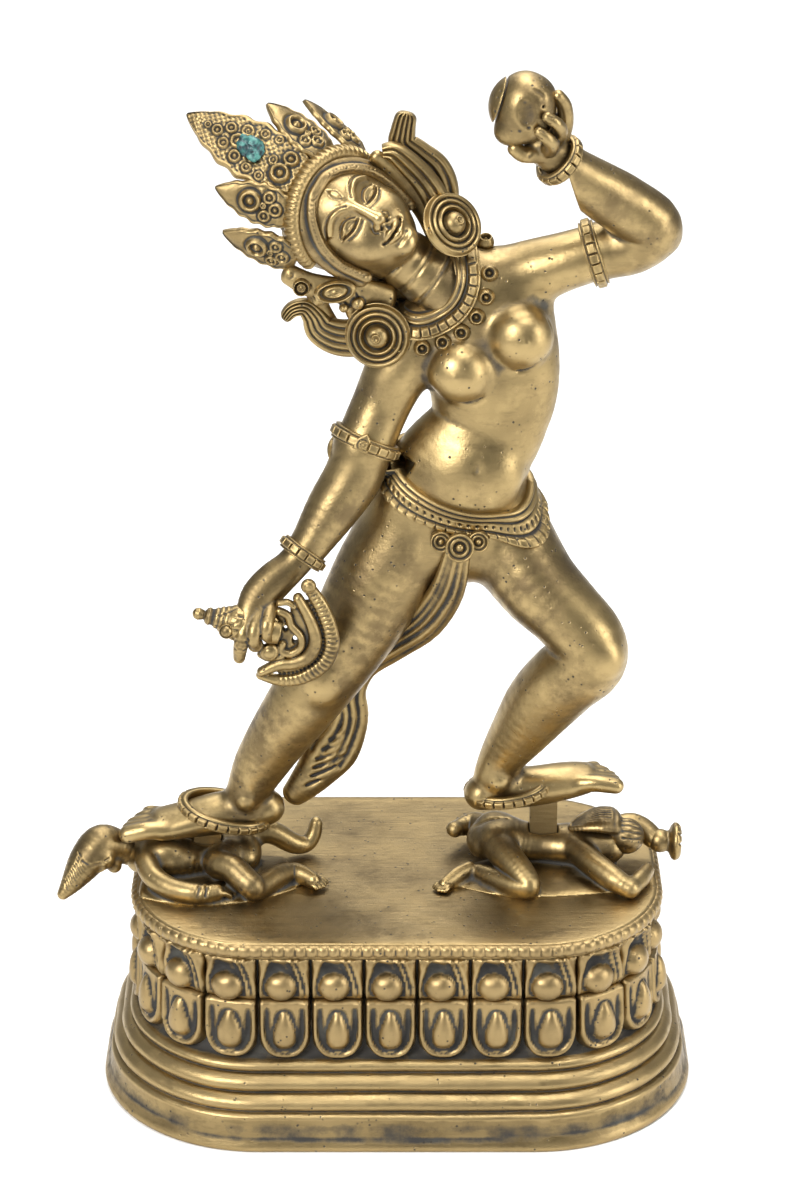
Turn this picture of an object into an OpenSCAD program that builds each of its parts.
// A cast brass dancing goddess on a double lotus base. The dancer lifts off her base:
// a tang under each foot drops through a fallen figure into a slot in the deck.
// X runs to the dancer's left, Y to her back, Z up. The origin is the middle of the underside.

/* [Base] */
// Width of the foot of the base, left to right
foot_w = 154; // [150:1:158]
// Depth of the foot of the base, front to back
foot_d = 100; // [96:1:104]
// Height of the deck that the fallen figures lie on
deck_z = 55; // [54:0.5:56]
// Corner radius of the foot
corner_r = 42; // [40:1:43]
// Wall thickness of the hollow casting
wall = 3; // [2:0.5:3.5]
// Number of petals in each of the two rows
petals = 27; // [20:1:30]
// Thickness of the plate that closes the underside
plate_t = 1.2; // [0.8:0.2:1.6]

/* [Tangs] */
// Width of the tang under each foot
tang_w = 7; // [6:0.5:8]
// Depth of the tang under each foot
tang_d = 5; // [4:0.5:6]
// Clearance on each side of a tang in its slot
tang_gap = 0.2; // [0.15:0.05:0.3]
// How far each tang reaches below the top of the deck
tang_drop = 5; // [4:0.5:8]

/* [Ornaments] */
// Length of the middle leaf of the crown
leaf_l = 29; // [26:1:31]
// Length of the four smaller leaves of the crown
small_leaf_l = 17; // [15:1:19]
// Radius of the ear discs
ear_r = 8; // [7:0.5:9]
// Thickness of the ear discs
ear_t = 3; // [2:0.5:4]
// Gap between a bangle and the limb that it goes round
bangle_gap = 0.15; // [0.1:0.05:0.3]

/* [Hidden] */

// Half sizes of the rectangle that the corner arcs of the base turn about
core_x = foot_w / 2 - corner_r;
core_y = foot_d / 2 - corner_r;
// Distance from that rectangle to the edge of the deck
deck_r = corner_r - 10;
// Heights of the top of the stepped foot and of the waist between the petal rows
steps_z = 21;
waist_z = 38;

// Where the tangs stand on the deck
right_tang_at = [-49, 0];
left_tang_at = [38, 4];
right_sole_z = 66;
left_sole_z = 72;

// The head's own axes: up through the crown, forward through the nose, and to her right
head_at = [-10, -3, 231.5];
head_up = unit([-0.85, 0.15, 0.5]);
head_front = unit(cross(cross(head_up, [0.14, -0.84, 0.5]), head_up));
head_right = cross(head_front, head_up);

// ---- limbs: each station is [x, y, z, half width, half depth] ----

spine = [[12, 2, 150, 20, 13.5], [13.8, 1, 158, 19.6, 13.5], [15.5, 0, 166, 17, 12.5],
    [19, -1, 172.5, 15, 11], [22.5, -1, 178, 13.8, 10], [23.6, -1, 185, 15.2, 10],
    [23.8, -1, 192, 16, 10.5], [22.6, 0, 200, 16.6, 11], [20, 1, 208, 16.8, 10.5],
    [15, 1, 215, 10, 8]];
left_upper_arm = [[22, 1, 213, 9, 8.5], [32, 1, 217, 8, 8], [41, 0, 220.5, 7, 7.5],
    [49, 0, 223, 6.8, 7]];
right_upper_arm = [[7, -1, 203, 9, 8.5], [0.5, -3, 194, 8, 8], [-3.8, -4, 185, 7.2, 7.4],
    [-8.2, -6.6, 175, 7.2, 7.4]];
left_lower_arm = [[49, 0, 223, 6.8, 7], [56.5, -1, 225, 7.2, 7], [61, -3, 230, 7.2, 7],
    [54, -5, 236, 7.2, 6.8], [48.6, -7, 240, 6.8, 6.4], [43, -9, 244.3, 6, 5.8],
    [37, -12, 250, 4.6, 4.6]];
right_lower_arm = [[-8.2, -6.6, 175, 7.2, 7.4], [-10.6, -8, 168, 7.2, 7.2],
    [-15.5, -10, 160.5, 6.6, 6.6], [-20.5, -12.5, 153, 5.2, 5.4], [-23.5, -14, 149, 4.6, 4.8]];
left_palm = [[37, -12, 250, 4.4, 4.2], [33, -14, 254, 4.8, 4], [31, -14, 259, 5.4, 4.4],
    [30, -13, 264, 4, 3.6]];
right_palm = [[-23.5, -14, 149, 4.4, 4.4], [-27.5, -17, 145.5, 4.8, 4.6], [-33, -20, 142, 5, 4.4],
    [-36.5, -22.5, 136, 2.8, 2.8], [-37.5, -23.5, 130, 1.8, 1.8]];
right_thigh = [[4, 2, 155, 12, 13], [1.5, 1, 147, 12.8, 13.5], [-3.8, -1, 138, 12.4, 12.5],
    [-9.8, -3, 127, 11.4, 11], [-17, -4, 115, 10, 9.8], [-24, -3, 104, 9, 9],
    [-30, -1, 94, 7.9, 8], [-35, 0, 85, 6.9, 6.8], [-38.5, 0, 77.5, 5.4, 5.6]];
left_thigh = [[26, 2, 155, 9, 12.5], [27.5, 1, 148, 11.4, 13], [34.5, -5, 138.5, 10.4, 11.8],
    [41.5, -9.5, 132.5, 9.4, 10.4], [47.4, -12.5, 126.2, 9.2, 9.8], [47.6, -12.5, 120.5, 9.6, 9.6],
    [42.5, -10, 114.5, 9.6, 9.4], [36.9, -6, 106, 9.2, 9], [32, -3, 97, 7.7, 7.8],
    [27.4, -1, 88.5, 6, 6.2], [25.2, -1, 83, 5.4, 5.6]];
right_sole = [[-32, 1, 70.5, 5, 5], [-39, 0, 70.8, 5.6, 5.6], [-49, -1, 70, 4.9, 6.4],
    [-60, -2, 69, 4, 6.8], [-67.5, -3, 69, 3.6, 6]];
left_sole = [[20, -2, 76, 4, 4.8], [28, 0, 77.3, 5, 5.4], [37, 2, 77.5, 4.6, 6.2],
    [46, 4, 78.5, 4.2, 6.6], [52, 5, 79.5, 3.4, 5.6]];
girdle_line = [[13.9, 2.3, 155.5, 17.2, 13.2], [14.5, -0.7, 163.5, 16.6, 12.8]];
sash_path = [[15, -13, 150, 3.5, 1.6], [12.5, -9, 138, 4.6, 2.5], [7, -4, 127, 5, 3],
    [-1, 1, 119, 5, 3], [-9.5, 4, 112, 5.4, 3], [-13.5, 5, 104, 5.6, 3], [-13.5, 5, 97, 6.6, 3.2],
    [-16, 5, 89.5, 7.6, 3.6], [-19, 4.5, 84, 6.4, 3.6], [-23, 4, 79, 5, 3.4],
    [-26, 4, 75.5, 3.6, 3]];

// ---- helpers ----

function unit(v) = v / norm(v);
function xyz(s) = [s[0], s[1], s[2]];

// One point of the smooth curve between stations b and c
function blend(a, b, c, d, t) =
    0.5 * (2 * b + (c - a) * t + (2 * a - 5 * b + 4 * c - d) * t * t
        + (3 * b - a - 3 * c + d) * t * t * t);

// Stations with steps - 1 more of them smoothly set between each two
function smooth(s, steps) = concat(
    [for (i = [0:len(s) - 2], k = [0:steps - 1])
        blend(s[max(i - 1, 0)], s[i], s[i + 1], s[min(i + 2, len(s) - 1)], k / steps)],
    [s[len(s) - 1]]);

function heading(s, i) = unit(xyz(s[min(i + 1, len(s) - 1)]) - xyz(s[max(i - 1, 0)]));

// Rings that round off the end at station s, which faces along h
function dome(s, h, angles) = [for (a = angles)
    [s[0] + h[0] * s[3] * sin(a) * 0.7, s[1] + h[1] * s[3] * sin(a) * 0.7,
        s[2] + h[2] * s[3] * sin(a) * 0.7, s[3] * cos(a), s[4] * cos(a)]];

// The points of the oval ring at one station, grown by more
function ring(s, h, sides, more = 0) =
    let (across = unit(cross([0, 1, 0], h)), deep = cross(h, across))
    [for (k = [0:sides - 1]) xyz(s) + across * (s[3] + more) * cos(360 * k / sides)
        + deep * (s[4] + more) * sin(360 * k / sides)];

// Side faces between rings of points, in order, each with the same number of sides
function skin(rings, sides) = [for (i = [0:rings - 2], k = [0:sides - 1])
    let (j = (k + 1) % sides, a = i * sides, b = a + sides)
    each [[a + k, b + k, b + j], [a + k, b + j, a + j]]];

// A closed limb through its stations, with rounded ends
module limb(stations, sides = 14, steps = 3) {
    mid = smooth(stations, steps);
    n = len(mid);
    first = heading(mid, 0);
    last = heading(mid, n - 1);
    heads = concat([first, first], [for (i = [0:n - 1]) heading(mid, i)], [last, last]);
    all = concat(dome(mid[0], -first, [70, 38]), mid, dome(mid[n - 1], last, [38, 70]));
    points = [for (i = [0:len(all) - 1]) each ring(all[i], heads[i], sides)];
    ends = [[for (k = [0:sides - 1]) k],
        [for (k = [sides - 1:-1:0]) (len(all) - 1) * sides + k]];
    polyhedron(points, concat(skin(len(all), sides), ends), convexity = 6);
}

// A bangle round a limb, from share a to share b of its smoothed stations
module bangle(stations, from, to, thick, sides = 18, steps = 6) {
    mid = smooth(stations, steps);
    picked = [for (i = [0:len(mid) - 1]) if (i / (len(mid) - 1) >= from
        && i / (len(mid) - 1) <= to) i];
    n = len(picked);
    inner = [for (i = picked) each ring(mid[i], heading(mid, i), sides, bangle_gap)];
    outer = [for (i = [n - 1:-1:0]) each ring(mid[picked[i]], heading(mid, picked[i]), sides,
        thick)];
    loop = [for (i = [0:2 * n - 1], k = [0:sides - 1])
        let (j = (k + 1) % sides, a = i * sides, b = ((i + 1) % (2 * n)) * sides)
        each [[a + k, b + j, b + k], [a + k, a + j, b + j]]];
    polyhedron(concat(inner, outer), loop, convexity = 6);
}

// Shapes that flow into each other, kept as one closed mesh
module cast_together() {
    resize([0, 0, 0]) union() children();
}

// A ball stretched to the half sizes r
module egg(at, r, turn = [0, 0, 0]) {
    translate(at) rotate(turn) scale(r) sphere(1, $fn = 20);
}

// A profile of [distance, height] carried round the core rectangle of the base
module round_base(profile) {
    for (sx = [-1, 1], sy = [-1, 1]) translate([sx * core_x, sy * core_y, 0])
        rotate([0, 0, (sx > 0 ? (sy > 0 ? 0 : 270) : (sy > 0 ? 90 : 180))])
            rotate_extrude(angle = 90, $fn = 96) polygon(profile);
    for (s = [0, 180]) rotate([0, 0, s]) {
        translate([-core_x, -core_y, 0]) rotate([90, 0, 90]) mirror([1, 0, 0])
            linear_extrude(2 * core_x) polygon(profile);
        translate([core_x, core_y, 0]) rotate([90, 0, 0])
            linear_extrude(2 * core_y) polygon(profile);
    }
}

// Something set at even steps round the base, at distance r from the core, facing out
module around_base(count, r) {
    straight_x = 2 * core_x;
    straight_y = 2 * core_y;
    arc = 90 * PI / 180 * r;
    total = 2 * (straight_x + straight_y) + 4 * arc;
    for (i = [0:count - 1]) {
        s = (i + 0.5) * total / count;
        half = total / 2;
        side = s > half ? 180 : 0;
        u = s > half ? s - half : s;
        rotate([0, 0, side]) {
            if (u < straight_x)
                translate([-core_x + u, -core_y - r, 0]) children();
            else if (u < straight_x + arc)
                translate([core_x, -core_y, 0]) rotate([0, 0, (u - straight_x) / arc * 90])
                    translate([0, -r, 0]) children();
            else if (u < straight_x + arc + straight_y)
                translate([core_x + r, -core_y + u - straight_x - arc, 0])
                    rotate([0, 0, 90]) children();
            else
                translate([core_x, core_y, 0])
                    rotate([0, 0, 90 + (u - straight_x - arc - straight_y) / arc * 90])
                        translate([0, -r, 0]) children();
        }
    }
}

// ---- base ----

// The outside of the base, from the deck's edge down to the ground
shell = [[deck_r, deck_z], [deck_r, deck_z - 4.5], [deck_r - 2, deck_z - 5],
    [deck_r - 4, waist_z], [deck_r - 2, steps_z + 1], [deck_r + 1.5, steps_z + 1],
    [deck_r + 2.5, steps_z - 2], [deck_r + 4, steps_z - 4], [deck_r + 4.8, steps_z - 8],
    [deck_r + 6.5, steps_z - 10], [deck_r + 7.2, steps_z - 14], [deck_r + 9, steps_z - 16],
    [corner_r, 3.5], [corner_r - 0.6, 0]];

module lotus_base() {
    color("darkgoldenrod") difference() {
        union() {
            round_base(concat([[0, deck_z - wall], [0, deck_z]], shell,
                [[corner_r - wall, 0], [corner_r - wall, plate_t], [corner_r - wall - 1, plate_t],
                    [deck_r + 2, steps_z - 9], [deck_r - 2 - wall, steps_z],
                    [deck_r - 4 - wall, waist_z], [deck_r - 3 - wall, deck_z - wall]]));
            translate([-core_x, -core_y, deck_z - wall]) cube([2 * core_x, 2 * core_y, wall]);
        }
        for (at = [right_tang_at, left_tang_at]) socket(at);
    }
}

// The slot that a tang drops through
module socket(at) {
    translate([at[0] - tang_w / 2 - tang_gap, at[1] - tang_d / 2 - tang_gap, deck_z - 2 * wall])
        cube([tang_w + 2 * tang_gap, tang_d + 2 * tang_gap, 60]);
}

module seal_plate() {
    clear = 0.1;
    edge = corner_r - wall - clear;
    color("peru") {
        translate([-core_x, -core_y - edge, 0]) cube([2 * core_x, 2 * (core_y + edge), plate_t]);
        round_base([[0, 0], [edge, 0], [edge, plate_t], [0, plate_t]]);
    }
}

// One petal: a low boss that stands out of the wall of the base, cut from a turned egg
module petal(low, high, half_w, bulge) {
    half_h = (high - low) / 2;
    translate([0, 0, (low + high) / 2]) difference() {
        translate([0, half_w - bulge, 0]) rotate_extrude($fn = 48)
            polygon([[0, -half_h], [half_w * 0.5, -half_h * 0.87], [half_w * 0.87, -half_h * 0.5],
                [half_w, 0], [half_w * 0.87, half_h * 0.5], [half_w * 0.5, half_h * 0.87],
                [0, half_h]]);
        translate([-10, 0, -20]) cube([20, 20, 40]);
    }
}

module lower_petals() {
    color("goldenrod") around_base(petals, deck_r - 1.9) petal(steps_z + 1.3, waist_z, 6.4, 5);
}

module upper_petals() {
    color("goldenrod") around_base(petals, deck_r - 1.9)
        petal(waist_z + 0.3, deck_z - 5.2, 6.2, 4);
}

module bead_rim() {
    bead = 1.1;
    color("goldenrod") round_base([[deck_r + 0.05, deck_z - 4.3],
        [deck_r + bead, deck_z - 3.8], [deck_r + bead * 1.5, deck_z - 2.2],
        [deck_r + bead, deck_z - 0.6], [deck_r + 0.05, deck_z - 0.1]]);
}

// ---- fallen figures ----

// Keeps only what lies above the deck
module on_deck(at) {
    cast_together() difference() {
        union() children();
        translate([-150, -150, deck_z - 100]) cube([300, 300, 100]);
        if (at != undef) socket(at);
    }
}

module fallen_man() {
    color("darkgoldenrod") on_deck(right_tang_at) {
        limb([[-66, -2, 60, 4.5, 6.5], [-58, -2, 60, 5.4, 8.5], [-49, 0, 59.5, 5, 8.5],
            [-40, 1, 59, 4.8, 8]]);
        limb([[-63, 0, 62, 3, 3], [-64, -8, 61, 3, 3], [-59, -16, 58.5, 3, 3],
            [-51, -20, 58, 2.7, 2.7], [-45, -18.5, 58, 2.3, 2.3]]);
        limb([[-66, 4, 60, 3, 3], [-66, 12, 59, 2.8, 2.8], [-58, 17, 58, 2.6, 2.6]]);
        limb([[-44, -3, 60, 4, 4], [-46, -10, 61, 3.8, 3.8], [-39, -15, 61.4, 3.6, 3.6],
            [-37, -19, 58.5, 3, 3], [-31, -11, 58.5, 2.8, 2.8], [-27, -6, 58.5, 2.4, 2.4],
            [-22, -10, 57.2, 2.6, 2.4]]);
        limb([[-42, 4, 60, 4, 4], [-35, 4, 61, 3.4, 3.4], [-27, 6, 58.5, 2.6, 2.6],
            [-23, 7, 59, 2.4, 2.4], [-21, 9, 62, 1.8, 2]]);
    }
}

module fallen_man_head() {
    color("darkgoldenrod") limb([[-68.5, -3, 60.5, 3.2, 3.2], [-72.5, -3.5, 63, 3.6, 4],
        [-76.2, -5, 65, 5.2, 5.4], [-79.5, -8.5, 62, 5, 5.2], [-83, -12, 58, 3.2, 3.4],
        [-86, -14.5, 54.5, 1.4, 1.6]]);
}

module fallen_woman() {
    color("darkgoldenrod") on_deck(left_tang_at) {
        limb([[24, 4, 61.5, 5, 7], [31, 4, 61.5, 5.4, 7], [38, 4, 61, 4.8, 6.4],
            [47, 3, 60.5, 5, 7], [55, 3, 60, 4.6, 6.6]]);
        limb([[25, 0, 62, 4, 4], [28, -8, 60.5, 4, 4], [34, -14.5, 58.5, 3.4, 3.4],
            [27, -11.5, 57.5, 2.8, 2.8], [21.5, -5.5, 57.5, 2.6, 2.6],
            [16.5, -6, 57, 2.4, 2.2], [12.5, -10, 56.4, 2, 1.6]]);
        limb([[24, 9, 60, 3.8, 3.8], [21, 15, 59, 3, 3], [16, 17, 59, 2.2, 2.4]]);
        limb([[48, -3, 61, 3, 3], [52, -10, 60.5, 3.2, 3.2], [57, -16, 59, 3, 3],
            [62, -14, 58.5, 2.6, 2.6]]);
        limb([[55, 8, 62, 3.6, 3.6], [61, 9.5, 64, 3.4, 3.4], [65, 7.5, 62.5, 3, 3],
            [67.2, 5, 60.5, 2.8, 2.8]]);
    }
}

module fallen_woman_hair() {
    color("darkgoldenrod") limb([[45.5, 3, 67.5, 1.8, 4.5], [50, 4, 67, 2.6, 6],
        [56, 5.5, 67, 4.2, 5.6], [60.5, 1, 64, 4.8, 5]]);
}

module fallen_woman_hand() {
    color("darkgoldenrod") translate([68.5, 4.5, 60.3]) rotate([10, 92, 0])
        rotate_extrude($fn = 40) polygon([[0, 0], [3, 0], [3.2, 1.5], [4.4, 2.2], [5.3, 3.4],
            [5.4, 4.8], [4.4, 5.6], [3.6, 5], [0, 4.6]]);
}

// ---- dancer ----

module torso() {
    color("goldenrod") cast_together() {
        limb(spine, sides = 20);
        limb(left_upper_arm);
        limb(right_upper_arm);
        egg([15, -9.5, 195.5], [7.8, 7.6, 7.8]);
        egg([30, -9, 204.5], [7.8, 7.6, 7.8]);
    }
}

module right_forearm() { color("goldenrod") limb(right_lower_arm); }

module left_forearm() { color("goldenrod") limb(left_lower_arm); }

module right_hand() { color("goldenrod") limb(right_palm); }

module left_hand() {
    color("goldenrod") cast_together() {
        limb(left_palm);
        limb([[35, -15, 256, 1.6, 1.6], [37, -15, 261, 1.7, 1.7], [34, -14, 267, 1.5, 1.5]]);
        limb([[33, -17, 256, 1.5, 1.5], [31.5, -19.5, 259, 1.6, 1.6], [29, -19, 263, 1.4, 1.4]]);
    }
}

module right_leg() {
    color("goldenrod") cast_together() difference() {
        limb(right_thigh, sides = 18);
        translate([16.2, -40, 100]) cube([60, 80, 80]);
    }
}

module left_leg() {
    color("goldenrod") cast_together() difference() {
        limb(left_thigh, sides = 18);
        translate([-43.8, -40, 100]) cube([60, 80, 80]);
    }
}

module right_foot() {
    color("goldenrod") cast_together() difference() {
        union() {
            limb(right_sole);
            limb([[-38.5, 0, 77.5, 5.2, 5.4], [-39, 0, 72, 4.8, 5.2]]);
        }
        translate([-100, -50, right_sole_z - 50]) cube([100, 100, 50]);
    }
}

module left_foot() {
    color("goldenrod") cast_together() difference() {
        union() {
            limb(left_sole);
            limb([[25.2, -1, 83, 5.2, 5.4], [25.5, -1, 78.5, 5, 5.2]]);
        }
        translate([0, -50, left_sole_z - 50]) cube([100, 100, 50]);
    }
}

// A tang stands under a sole and reaches through the deck
module tang(at, sole) {
    low = deck_z - tang_drop;
    color("peru") translate([at[0] - tang_w / 2, at[1] - tang_d / 2, low])
        cube([tang_w, tang_d, sole + 2.5 - low]);
}

module right_tang() { tang(right_tang_at, right_sole_z); }

module left_tang() { tang(left_tang_at, left_sole_z); }

// Places children in the head's own axes: X to her left, Y back, Z up
module in_head() {
    multmatrix([
        [-head_right[0], -head_front[0], head_up[0], head_at[0]],
        [-head_right[1], -head_front[1], head_up[1], head_at[1]],
        [-head_right[2], -head_front[2], head_up[2], head_at[2]],
        [0, 0, 0, 1]]) children();
}

module head() {
    color("goldenrod") cast_together() {
        in_head() egg([0, 0, 0], [11.8, 12.5, 16]);
        limb([[-4, -1, 225, 8, 8], [6, -1, 219, 7.8, 7.8], [14, 0, 212, 9, 8]]);
    }
}

module hair() {
    color("saddlebrown") cast_together() in_head() {
        egg([0, 7, 5], [13.8, 11.5, 14.5]);
        egg([0, 13, -9], [10, 7, 17]);
    }
}

module crown_band() {
    color("goldenrod") in_head() translate([0, 0, 4]) rotate([-50, 0, 0]) rotate([0, 0, 172])
        rotate_extrude(angle = 196, $fn = 60) polygon([[12.6, -1.5], [15.4, -1.3], [16.6, 0.5],
            [16.2, 4], [12.6, 4.2]]);
}

// A pointed leaf, standing on its base, with its front towards -Y
module leaf(length, half_w, thick) {
    outline = [for (t = [0:0.05:1]) [half_w * pow(sin(180 * min(1, 0.22 + 0.78 * t)), 0.8),
        t * length]];
    rotate([90, 0, 0]) translate([0, 0, -thick / 2]) linear_extrude(thick)
        polygon(concat([for (p = outline) p], [for (i = [len(outline) - 2:-1:0])
            [-outline[i][0], outline[i][1]]]));
}

// A crown leaf on its foot, turned about the head by around and leaning by lean
module crown_leaf(foot, around, side_lean, back_lean, length, half_w) {
    color("goldenrod") in_head() translate(foot) rotate([0, side_lean, 0])
        rotate([back_lean, 0, around]) leaf(length, half_w, 3);
}

module crown_leaf_middle() { crown_leaf([0, -8, 18.5], 0, 0, -12, leaf_l, 7.2); }
module crown_leaf_right_inner() { crown_leaf([-9.5, -6, 15.5], -30, -14, -8, small_leaf_l, 4.8); }
module crown_leaf_right_outer() { crown_leaf([-16.8, 0.5, 8], -58, -14, -4, small_leaf_l, 4.8); }
module crown_leaf_left_inner() { crown_leaf([9.5, -6, 15.5], 30, 14, -8, small_leaf_l, 4.8); }
module crown_leaf_left_outer() { crown_leaf([16.8, 0.5, 8], 58, 14, -4, small_leaf_l, 4.8); }

module crown_inlay() {
    color("teal") in_head() translate([0, -7.3, 29]) rotate([-12, 0, 0]) scale([1, 0.4, 1.35])
        sphere(3.1, $fn = 20);
}

// A stepped disc with a boss, facing -Y
module ear_disc() {
    color("goldenrod") rotate([90, 0, 0]) rotate_extrude($fn = 60)
        polygon([[0, 0], [ear_r, 0], [ear_r, ear_t * 0.5], [ear_r * 0.8, ear_t * 0.7],
            [ear_r * 0.75, ear_t], [ear_r * 0.6, ear_t], [ear_r * 0.5, ear_t * 0.7],
            [ear_r * 0.4, ear_t * 1.3], [0, ear_t * 1.7]]);
}

module right_ear_disc() { translate([-4.4, -8.3, 204.5]) rotate([-6, 0, -8]) ear_disc(); }
module left_ear_disc() { translate([13, -3.5, 230.5]) rotate([-32, 0, 38]) ear_disc(); }

// A flat curling ribbon that runs through its stations
module right_ribbon() {
    color("goldenrod") limb([[2, -5, 212, 3, 1.8], [-6, -6, 209.5, 4.5, 1.6],
        [-14, -5, 208, 6, 1.6], [-21, -4, 208.5, 5, 1.5], [-28, -4, 211, 2.4, 1.3]]);
}

module left_ribbon() {
    color("goldenrod") limb([[5, 3, 229, 3, 1.8], [9, 2, 236, 5, 1.6], [9, 4, 243, 7, 1.6], [6, 5, 249, 6, 1.5],
        [3.5, 5, 254, 3.2, 1.4], [4, 5, 257, 2.4, 1.3]]);
}

module collar() {
    color("goldenrod") translate([10, 1, 214]) rotate([38, -38, 0])
        rotate_extrude($fn = 60) polygon([[10.5, -1.2], [15.5, -2.6], [16, -1], [11, 1.4]]);
}

module collar_pendants() {
    color("goldenrod") translate([10, 1, 214]) rotate([38, -38, 0])
        for (a = [200:16:340]) rotate([0, 0, a]) translate([18.3, 0, -2.2])
            cylinder(r = 2.2, h = 1.8, $fn = 24);
}

module right_armlet() { color("goldenrod") bangle(right_upper_arm, 0.86, 1, 2); }
module left_armlet() { color("goldenrod") bangle(left_upper_arm, 0.86, 1, 2); }
module right_bracelet() { color("goldenrod") bangle(right_lower_arm, 0.9, 1, 1.8); }
module left_bracelet() { color("goldenrod") bangle(left_lower_arm, 0.92, 1, 1.8); }

module girdle() { color("goldenrod") bangle(girdle_line, 0, 1, 3.2); }

module girdle_clasp() {
    color("goldenrod") translate([15, -14.4, 152.6]) rotate([78, 0, 0]) {
        cylinder(r = 4, h = 2.6, $fn = 40);
        for (s = [-1, 1]) translate([s * 5.6, 0, 0]) cylinder(r = 2.6, h = 1.6, $fn = 30);
    }
}

module sash() { color("goldenrod") limb(sash_path, sides = 12); }

// A hoop that lies round a foot
module anklet(at, turn, r, squeeze) {
    color("goldenrod") translate(at) rotate(turn) scale([1, squeeze, 1])
        rotate_extrude($fn = 48) translate([r, 0]) circle(1.9, $fn = 20);
}

module right_anklet() { anklet([-44.5, -0.5, 71.8], [4, 14, 0], 11.3, 0.72); }
module left_anklet() { anklet([28.5, 0, 78.4], [4, -8, 10], 10.2, 0.76); }

// The flaying knife lies across the hand, with its blade towards the thigh
knife_at = [-30, -22, 137];

module knife_blade() {
    color("goldenrod") translate(knife_at) rotate([90, 14, 0]) translate([0, 0, -1.2])
        linear_extrude(2.4) difference() {
            translate([4, 0]) circle(r = 10.5, $fn = 60);
            translate([-14, -12]) square([14, 24]);
            translate([-3, 0]) circle(r = 6, $fn = 40);
        }
}

module knife_hilt() {
    color("goldenrod") translate(knife_at) rotate([0, -76, 0]) rotate_extrude($fn = 40)
        polygon([[0, -7], [4.6, -7], [4.8, -1], [3, 1], [2.6, 5], [3, 8], [4.6, 10], [4.2, 13],
            [2.4, 17], [1.2, 19], [1.5, 20.5], [0, 22]]);
}

// The skull cup is a bowl on its side, filled to a mound
cup_at = [29, -14, 262.5];

module skull_cup() {
    color("goldenrod") translate(cup_at) rotate([0, -84, 8]) difference() {
        scale([1, 1, 0.95]) sphere(8.6, $fn = 40);
        translate([-10, -10, 2.2]) cube([20, 20, 20]);
    }
}

module cup_contents() {
    color("darkgoldenrod") translate(cup_at) rotate([0, -84, 8]) translate([0, 0, 2.3])
        rotate_extrude(angle = 360, $fn = 40) polygon([[0, 0], [7.9, 0], [7.6, 1.6], [6.4, 3.4],
            [4.4, 4.8], [2.2, 5.5], [0, 5.7]]);
}

lotus_base();
lower_petals();
upper_petals();
bead_rim();
seal_plate();
fallen_man();
fallen_man_head();
fallen_woman();
fallen_woman_hair();
fallen_woman_hand();
torso();
right_forearm();
left_forearm();
right_hand();
left_hand();
right_leg();
left_leg();
right_foot();
left_foot();
right_tang();
left_tang();
head();
hair();
crown_band();
crown_leaf_middle();
crown_leaf_right_inner();
crown_leaf_right_outer();
crown_leaf_left_inner();
crown_leaf_left_outer();
crown_inlay();
right_ear_disc();
left_ear_disc();
right_ribbon();
left_ribbon();
collar();
collar_pendants();
right_armlet();
left_armlet();
right_bracelet();
left_bracelet();
girdle();
girdle_clasp();
sash();
right_anklet();
left_anklet();
knife_blade();
knife_hilt();
skull_cup();
cup_contents();
